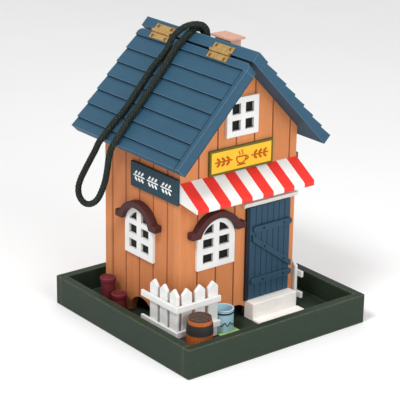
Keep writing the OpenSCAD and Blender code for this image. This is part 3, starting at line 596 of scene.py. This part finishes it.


# Nodes, edge radius in mm, finish, and slot.
BOARDS = [
    (["tray_floor"], 0.5, tray_green, "tray_paint"),
    (["tray_rim_front", "tray_rim_back"], 0.8, tray_green, "tray_paint"),
    (["tray_rim_left", "tray_rim_right"], 0.8, tray_green, "tray_paint"),
    (["wall_front", "wall_back"], 0.35, gable_stain, "wall_stain"),
    (["wall_left", "wall_right"], 0.35, side_stain, "wall_stain"),
    (["roof_fixed_panel"], 0.5, roof_blue, "roof_paint"),
    (["chimney_stack", "chimney_cap"], 0.5, chimney_wood, "chimney_wood"),
    (["gable_window_frame", "front_window_frame", "side_window_frame"], 0.4, window_white, "white_paint"),
    (["front_window_hood", "side_window_hood"], 0.8, hood_maroon, "maroon_paint"),
    (["door_lintel"], 0.4, window_white, "white_paint"),
    (["door_boards_slab"], 0.25, door_blue, "door_paint"),
    (["door_jamb"], 0.3, frame_dark, "door_paint"),
    (["door_ledges", "door_brace"], 0.5, door_blue, "door_paint"),
    (["door_nails"], 0.3, pane_black, "steel"),
    (["step_block", "step_tread"], 0.7, step_white, "white_paint"),
    (["left_sign"], 0.5, sign_blue, "blue_sign_paint"),
    (["right_sign"], 0.5, sign_olive, "olive_sign_paint"),
    (["fence_left_pickets", "fence_front_pickets", "fence_right_pickets"], 0.9, window_white, "white_paint"),
    (["fence_left_rails", "fence_front_rails", "fence_right_rails"], 0.7, window_white, "white_paint"),
    (["can_plate"], 0.4, plate_green, "plate_paint"),
]
for nodes, radius, material, slot in BOARDS:
    for node in nodes:
        softened(node, radius, material)
softened("roof_lid", 0.5, roof_blue, "lid")

# %% [markdown]
# ## Pieces that keep their CAD shape
# Nails, pins, panes and bands already have the right shape, so they only get their finish.

# %% Carried-over pieces
CARRIED = [
    (["floor_screws", "roof_nails", "chimney_nail"], steel),
    (["hinge_fixed_leaves", "hinge_lid_leaves", "hinge_pins"], brass),
    (["gable_window_backing", "front_window_backing", "side_window_backing"], pane_black),
    (["barrel_band"], band_black),
    (["can_band"], ornament_dark),
]
for nodes, material in CARRIED:
    for node in nodes:
        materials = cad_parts[node].data.materials
        materials.clear()
        materials.append(material)
    print("finished as they are:", ", ".join(nodes))

# %% [markdown]
# ## Hinge screws
# Each hinge leaf is held by two small screws with low round heads and a recess for the driver. A disc
# is made, raised into a head, narrowed towards the top and then pushed in again: four steps of the
# same inset and move.

# %% Hinge screws
def solids_of(node):
    """The separate solids of a CAD node, as lists of their vertex places."""
    bm = bmesh.new()
    bm.from_mesh(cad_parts[node].data)
    bmesh.ops.remove_doubles(bm, verts=bm.verts, dist=1e-6)
    left, groups = set(bm.verts), []
    while left:
        group, reached = [], [left.pop()]
        while reached:
            vert = reached.pop()
            group.append(vert.co.copy())
            near = {edge.other_vert(vert) for edge in vert.link_edges} & left
            left -= near
            reached += near
        groups.append(group)
    bm.free()
    return groups


SCREW_SIDE = 0.25 * MM
# How far each ring lies inside the last, in radii, and how far above it, in mm.
SCREW_PROFILE = ((0.16, 0.18), (0.22, 0.08), (0.32, 0.0), (0.05, -0.3))


def screw_head(bm, place, out, radius):
    """A low round head with a recess, its flat underside at place."""
    upright = Matrix.Translation(place) @ out.to_track_quat("Z", "Y").to_matrix().to_4x4()
    disc = bmesh.ops.create_circle(bm, cap_ends=True, segments=20, radius=radius, matrix=upright)
    underside = disc["verts"][0].link_faces[0]
    top = bmesh.ops.extrude_discrete_faces(bm, faces=[underside])["faces"][0]
    bmesh.ops.translate(bm, verts=top.verts, vec=out * SCREW_SIDE)
    for narrower, higher in SCREW_PROFILE:
        bmesh.ops.inset_individual(bm, faces=[top], thickness=narrower * radius, use_even_offset=True)
        bmesh.ops.translate(bm, verts=top.verts, vec=out * higher * MM)


ROOF_PITCH = math.radians(46)
lid_out = Vector((-math.sin(ROOF_PITCH), 0, math.cos(ROOF_PITCH)))
HEAD_RADIUS = 2.0 * MM
HEAD_HEIGHT = 0.5 * MM
for node, body in (("hinge_screws_ridge", "root"), ("hinge_screws_lid", "lid")):
    bm = bmesh.new()
    for group in solids_of(node):
        highest = max(point.dot(lid_out) for point in group)
        rim = [point for point in group if point.dot(lid_out) > highest - 0.1 * MM]
        place = sum(rim, Vector()) / len(rim) - lid_out * HEAD_HEIGHT
        screw_head(bm, place, lid_out, HEAD_RADIUS)
    bmesh.ops.recalc_face_normals(bm, faces=bm.faces)
    piece(node + "_heads", bm, [screw_brass], body, [node])

# %% [markdown]
# ## The lid's verge band
# The courses of the lid don't run out to its front edge: a smooth board finishes it there. It is a
# cube laid along the slope, as thick as the lid and a hair proud of it, with its edges eased.

# %% Verge band
BAND_WIDTH = 5.5 * MM
PROUD = 0.12 * MM
ROOF_THICKNESS = 10.8 * MM
COURSE_START = 21.4 * MM
SLOPE_END = 133.2 * MM
roof_low, roof_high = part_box("roof_fixed_panel")
ridge = Vector((0, roof_low.y, roof_high.z))
down_slope = Vector((-math.cos(ROOF_PITCH), 0, -math.sin(ROOF_PITCH)))
bm = bmesh.new()
for vert in bmesh.ops.create_cube(bm, size=1.0)["verts"]:
    along = COURSE_START if vert.co.x < 0 else SLOPE_END
    level = PROUD / 2 if vert.co.z > 0 else -ROOF_THICKNESS - PROUD
    depth = BAND_WIDTH if vert.co.y > 0 else -PROUD
    vert.co = ridge + down_slope * along + lid_out * level + Vector((0, depth, 0))
bmesh.ops.bevel(
    bm, geom=bm.edges[:], offset=0.4 * MM, affect="EDGES", segments=2, profile=0.5, material=-1)
bmesh.ops.recalc_face_normals(bm, faces=bm.faces)
piece("lid_verge_band", bm, [roof_blue], "lid")

# %% [markdown]
# ## The awning
# The awning is one wedge of wood painted in wide stripes. A cube is pulled into the wedge, planes cut
# it where the stripes meet, and each face takes its colour from where it lies. The ends stay white.

# %% Awning
STRIPES = 11
AWNING_BACK_HEIGHT = 19 * MM
AWNING_FRONT_HEIGHT = 5 * MM
AWNING_ROUNDING = 1.3 * MM
low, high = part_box("awning")
stripe = (high.x - low.x) / STRIPES
bm = bmesh.new()
for vert in bmesh.ops.create_cube(bm, size=1.0)["verts"]:
    at_wall, on_top, x = vert.co.y > 0, vert.co.z > 0, vert.co.x
    if at_wall:
        level = high.z if on_top else high.z - AWNING_BACK_HEIGHT
    else:
        level = low.z + AWNING_FRONT_HEIGHT if on_top else low.z
    vert.co = Vector(((low.x + high.x) / 2 + x * (high.x - low.x), high.y if at_wall else low.y, level))
front_edges = [edge for edge in bm.edges if all(v.co.y < high.y - MM for v in edge.verts)]
bmesh.ops.bevel(
    bm, geom=front_edges, offset=AWNING_ROUNDING, affect="EDGES", segments=3, profile=0.5, material=-1)
for number in range(1, STRIPES):
    bmesh.ops.bisect_plane(
        bm, geom=bm.verts[:] + bm.edges[:] + bm.faces[:], dist=1e-7,
        plane_co=(low.x + number * stripe, 0, 0), plane_no=(1, 0, 0))
for face in bm.faces:
    number = int((face.calc_center_median().x - low.x) / stripe)
    sideways = abs(face.normal.x) > 0.7
    face.material_index = 1 if sideways or number % 2 else 0
bmesh.ops.recalc_face_normals(bm, faces=bm.faces)
piece("awning_striped", bm, [awning_red, awning_white], "root", ["awning"])

# %% [markdown]
# ## Brushed ornaments
# The signs and the can carry small ornaments painted with a thin brush: a steaming cup, leafy sprigs
# and a wavy line. Each ornament is a few strokes on a unit square, and each stroke is a thin bead of
# paint half sunk in the board. A leaf is one short, thicker dab.

# %% Ornament strokes
def bow(x, y, wide, tall, start, stop, steps=12):
    """Part of an ellipse, from one angle to another in degrees."""
    angles = [math.radians(start + (stop - start) * i / steps) for i in range(steps + 1)]
    return [(x + wide * math.cos(a), y + tall * math.sin(a)) for a in angles]


def ripple(x, y, wide, tall, waves, steps=32):
    """A wavy line that sways sideways while it rises."""
    shares = [i / steps for i in range(steps + 1)]
    return [(x + wide * math.sin(math.tau * waves * s), y + tall * s) for s in shares]


def leafy(leaves):
    """A stem along the middle, with pairs of leaves that lean forwards."""
    strokes = [(1.0, [(0, 0.5), (1, 0.5)])]
    for number in range(leaves):
        start = (number + 0.6) / (leaves + 0.6)
        for tip in (0.08, 0.92):
            root = 0.5 + (tip - 0.5) * 0.3
            strokes.append((1.5, [(start, root), (start + 0.5 / leaves, tip)]))
    return strokes


# Each stroke is its thickness against the brush's and its points.
ORNAMENTS = {
    "cup": [
        (1.0, bow(0.42, 0.62, 0.42, 0.62, 180, 360, 20)), (1.0, [(0, 0.62), (0.84, 0.62)]),
        (1.0, bow(0.82, 0.4, 0.2, 0.16, 80, -110)), (1.0, [(0.05, -0.12), (0.8, -0.12)]),
        (0.7, ripple(0.25, 0.78, 0.05, 0.36, 1)), (0.7, ripple(0.5, 0.78, 0.05, 0.44, 1)),
    ],
    "sprig": leafy(3),
    "wave": [(1.0, [(v, 0.5 + u) for u, v in ripple(0, 0, 0.3, 1, 3)])],
}
STROKE_STEP = 0.6 * MM


def brushed(bm, points, radius):
    """A bead of paint along some points, with round ends."""
    path = []
    for a, b in zip(points, points[1:]):
        steps = max(1, round((b - a).length / STROKE_STEP))
        path += [a.lerp(b, i / steps) for i in range(steps)]
    path.append(points[-1])
    lengths = lengths_along(path)

    def taper(length, turn):
        inside = min(1.0, (min(length, lengths[-1] - length) + 0.15 * radius) / radius)
        return radius * math.sqrt(1 - (1 - inside) ** 2)

    rolled_tube(bm, path, carried_rings(path), lengths, 8, taper)


def painted(name, marks, radius, at, material, slot):
    """Ornaments with their lower left corners at a place, and a width and a height each."""
    bm = bmesh.new()
    for ornament, (x, y, wide, tall) in marks:
        for thickness, stroke in ORNAMENTS[ornament]:
            points = [at(x + u * wide, y + v * tall) for u, v in stroke]
            brushed(bm, points, radius * thickness)
    return piece(name, bm, [material], "root", smooth=True)


# %% [markdown]
# ## The signs
# The front sign is a yellow board with a dark rim. The rim is the ring that an inset leaves, and the
# field inside it lies a touch lower. The sign on the left wall is plain, with a row of sprigs.

# %% Signs
BORDER = 1.5 * MM
FIELD_DEPTH = 0.25 * MM
SUNK = 0.05 * MM
low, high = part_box("front_sign")
bm = bmesh.new()
bmesh.ops.create_cube(bm, size=1.0)
bmesh.ops.scale(bm, verts=bm.verts, vec=high - low)
bmesh.ops.translate(bm, verts=bm.verts, vec=(low + high) / 2)
bmesh.ops.bevel(
    bm, geom=bm.edges[:], offset=0.5 * MM, affect="EDGES", segments=2, profile=0.5, material=-1)
field = min(bm.faces, key=lambda face: face.calc_center_median().y)
for face in bm.faces:
    face.material_index = 1
bmesh.ops.inset_individual(bm, faces=[field], thickness=BORDER, use_even_offset=True)
bmesh.ops.inset_individual(bm, faces=[field], thickness=0.2 * MM, depth=-FIELD_DEPTH, use_even_offset=True)
field.material_index = 0
piece("front_sign_board", bm, [sign_yellow, sign_border], "root", ["front_sign"])
field_y = low.y + FIELD_DEPTH
middle_z = (low.z + high.z) / 2
CUP = (-6.5 * MM, middle_z - 5.5 * MM, 14 * MM, 11 * MM)
SPRIG_LENGTH, SPRIG_HEIGHT, SPRIG_START = 21 * MM, 10 * MM, 11.5 * MM
sprig_foot = middle_z - SPRIG_HEIGHT / 2
marks = [
    ("cup", CUP),
    ("sprig", (SPRIG_START, sprig_foot, SPRIG_LENGTH, SPRIG_HEIGHT)),
    ("sprig", (-SPRIG_START, sprig_foot, -SPRIG_LENGTH, SPRIG_HEIGHT)),
]
painted(
    "front_sign_ornament", marks, 0.75 * MM,
    lambda x, z: Vector((x, field_y - SUNK, z)), ornament_orange, "yellow_sign_paint")

low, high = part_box("left_sign")
SPRIGS = 3
SPRIG_TALL = 12 * MM
margin = 5 * MM
spacing = (high.y - low.y - 2 * margin) / SPRIGS
sprig_foot = (low.z + high.z - SPRIG_TALL) / 2
marks = [("sprig", (margin + i * spacing, sprig_foot, spacing * 0.84, SPRIG_TALL)) for i in range(SPRIGS)]
sign_face, sign_back = low.x, high.y
painted(
    "left_sign_ornament", marks, 0.7 * MM,
    lambda u, z: Vector((sign_face + 0.1 * MM, sign_back - u, z)), ornament_white, "blue_sign_paint")

# %% [markdown]
# ## Turned pieces
# The barrel, the can and the pots are round, so each is half an outline spun once round its middle.
# The barrel's staves are pressed in afterwards: every second line of the mesh moves towards the middle.

# %% Turned pieces
def turned(bm, outline, middle, steps=64):
    """Spins an outline of radius and height pairs round an upright line."""
    corners = [bm.verts.new((middle.x + radius, middle.y, level)) for radius, level in outline]
    edges = [bm.edges.new(pair) for pair in zip(corners, corners[1:])]
    bmesh.ops.spin(
        bm, geom=corners + edges, cent=middle, axis=(0, 0, 1), angle=math.tau, steps=steps,
        use_merge=True, use_duplicate=False)
    bmesh.ops.remove_doubles(bm, verts=bm.verts, dist=1e-6)
    bmesh.ops.recalc_face_normals(bm, faces=bm.faces)


def box_middle(node):
    low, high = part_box(node)
    return Vector(((low.x + high.x) / 2, (low.y + high.y) / 2, 0)), low, high


STAVES = 16
STAVE_GAP = 0.25 * MM
middle, low, high = box_middle("barrel_body")
belly = (high.x - low.x) / 2
foot = belly - 1.2 * MM
levels = 16
outline = [(0, low.z)]
for i in range(levels + 1):
    share = i / levels
    outline.append((foot + (belly - foot) * math.sin(math.pi * share), low.z + (high.z - low.z) * share))
outline.append((0, high.z))
bm = bmesh.new()
turned(bm, outline, middle, STAVES * 6)
for vert in bm.verts:
    out = Vector((vert.co.x - middle.x, vert.co.y - middle.y, 0))
    turn = math.atan2(out.y, out.x) / math.tau * STAVES
    if out.length > foot * 0.9 and abs(turn - round(turn)) < 0.05:
        vert.co -= out.normalized() * STAVE_GAP
piece("barrel_staves", bm, [barrel_orange], "root", ["barrel_body"], smooth=True)

can_axis, low, high = box_middle("can_body")
can_radius, can_foot = (high.x - low.x) / 2, low.z
wall = 1.2 * MM
outline = [
    (0, low.z), (can_radius - 0.5 * MM, low.z), (can_radius, low.z + 0.5 * MM),
    (can_radius, high.z - 1.4 * MM), (can_radius + 0.35 * MM, high.z - 1.0 * MM),
    (can_radius + 0.35 * MM, high.z - 0.4 * MM), (can_radius, high.z),
    (can_radius - wall, high.z - 0.3 * MM), (can_radius - wall, low.z + wall), (0, low.z + wall),
]
bm = bmesh.new()
turned(bm, outline, can_axis)
piece("can_turned", bm, [can_blue], "root", ["can_body"], smooth=True)
CAN_WAVE_MIDDLE = math.radians(-112)


def on_can(u, z):
    turn = CAN_WAVE_MIDDLE + u / can_radius
    return can_axis + Vector((math.cos(turn) * can_radius, math.sin(turn) * can_radius, z))


marks = [("wave", (-9 * MM, can_foot + 5.5 * MM, 18 * MM, 5.5 * MM))]
painted("can_ornament", marks, 0.5 * MM, on_can, ornament_dark, "can_band_paint")


def pot(node, name):
    middle, low, high = box_middle(node)
    rim = (high.x - low.x) / 2
    collar = high.z - 5 * MM
    outline = [
        (0, low.z), (rim - 2.2 * MM, low.z), (rim - 1.6 * MM, low.z + 0.6 * MM),
        (rim - 0.7 * MM, collar - 0.3 * MM), (rim - 0.3 * MM, collar), (rim, collar + 0.6 * MM),
        (rim, high.z - 0.7 * MM), (rim - 0.6 * MM, high.z), (rim - 1.5 * MM, high.z - 0.1 * MM),
        (rim - 2.0 * MM, high.z - 0.6 * MM), (rim - 2.4 * MM, high.z - 1 * MM), (0, high.z - 1 * MM),
    ]
    bm = bmesh.new()
    turned(bm, outline, middle)
    piece(name, bm, [pot_red], "root", [node], smooth=True)


pot("tall_pot", "tall_pot_turned")
pot("short_pot", "short_pot_turned")

# %% [markdown]
# ## The barrel's lid
# The lid is a disc of narrow planks. A disc is made once for each plank, and two planes cut away what
# lies beside it, which leaves a thin gap between neighbours.

# %% Barrel lid
PLANKS = 5
PLANK_GAP = 0.5 * MM
middle, low, high = box_middle("barrel_lid")
disc_radius = (high.x - low.x) / 2
plank = 2 * disc_radius / PLANKS
LID_TURN = Matrix.Rotation(math.radians(20), 3, "Z")
across = LID_TURN @ Vector((1, 0, 0))
lid = bmesh.new()
for number in range(PLANKS):
    bm = bmesh.new()
    disc = bmesh.ops.create_circle(
        bm, cap_ends=True, segments=72, radius=disc_radius, matrix=Matrix.Translation(middle))
    top = disc["verts"][0].link_faces[0]
    raised = bmesh.ops.extrude_face_region(bm, geom=[top])["geom"]
    upper = [part for part in raised if isinstance(part, bmesh.types.BMVert)]
    bmesh.ops.translate(bm, verts=upper, vec=(0, 0, high.z - low.z))
    bmesh.ops.translate(bm, verts=bm.verts, vec=(0, 0, low.z))
    start = number * plank - disc_radius
    for cut, way in ((start + PLANK_GAP / 2, -1), (start + plank - PLANK_GAP / 2, 1)):
        bmesh.ops.bisect_plane(
            bm, geom=bm.verts[:] + bm.edges[:] + bm.faces[:], dist=1e-7,
            plane_co=middle + across * cut, plane_no=across * way, clear_outer=True)
        bmesh.ops.holes_fill(bm, edges=[edge for edge in bm.edges if edge.is_boundary], sides=0)
    bmesh.ops.recalc_face_normals(bm, faces=bm.faces)
    sharp = [edge for edge in bm.edges if edge.calc_face_angle(0) > SHARP]
    bmesh.ops.bevel(
        bm, geom=sharp, offset=0.3 * MM, affect="EDGES", segments=2, profile=0.5, material=-1)
    mesh = bpy.data.meshes.new("plank")
    bm.to_mesh(mesh)
    bm.free()
    lid.from_mesh(mesh)
    bpy.data.meshes.remove(mesh)
piece("barrel_lid_planks", lid, [barrel_brown], "root", ["barrel_lid"])

# %% [markdown]
# ## Floor and light
# A plain pale floor and a pale surround give soft light from all sides. A lamp to the upper left models
# the edges and throws the rope's soft shadow over the lid, and a larger, lower one in front keeps the
# front wall open.

# %% Floor and lamps
floor_mesh = bmesh.new()
bmesh.ops.create_grid(floor_mesh, x_segments=1, y_segments=1, size=15.0)
floor_finish = Finish("floor_pale")
floor_tone = floor_finish.noise(floor_finish.place(), 3.0)
floor_finish.surface(
    floor_finish.mix(srgb(244, 244, 244), srgb(250, 250, 250), floor_tone), 0.7 + floor_tone * 0.1)
floor = piece("floor", floor_mesh, [floor_finish.material], body=None)

world = bpy.data.worlds.new("surround")
world.use_nodes = True
SURROUND_STRENGTH = 0.72
background = world.node_tree.nodes["Background"].inputs
background["Color"].default_value = (1.0, 1.0, 1.0, 1.0)
background["Strength"].default_value = SURROUND_STRENGTH
bpy.context.scene.world = world


def softbox(name, place, aim, width, power):
    data = bpy.data.lights.new(name, "AREA")
    data.shape = "SQUARE"
    data.size = width
    data.energy = power
    lamp = bpy.data.objects.new(name, data)
    bpy.context.scene.collection.objects.link(lamp)
    way = Vector(aim) - Vector(place)
    lamp.matrix_world = Matrix.Translation(place) @ way.to_track_quat("-Z", "Y").to_matrix().to_4x4()
    return lamp


softbox("key", (-1.05, -0.35, 1.6), (0, 0, 0.15), 0.4, 17.0)
softbox("fill", (-0.1, -1.8, 0.9), (0, 0, 0.15), 1.0, 15.0)
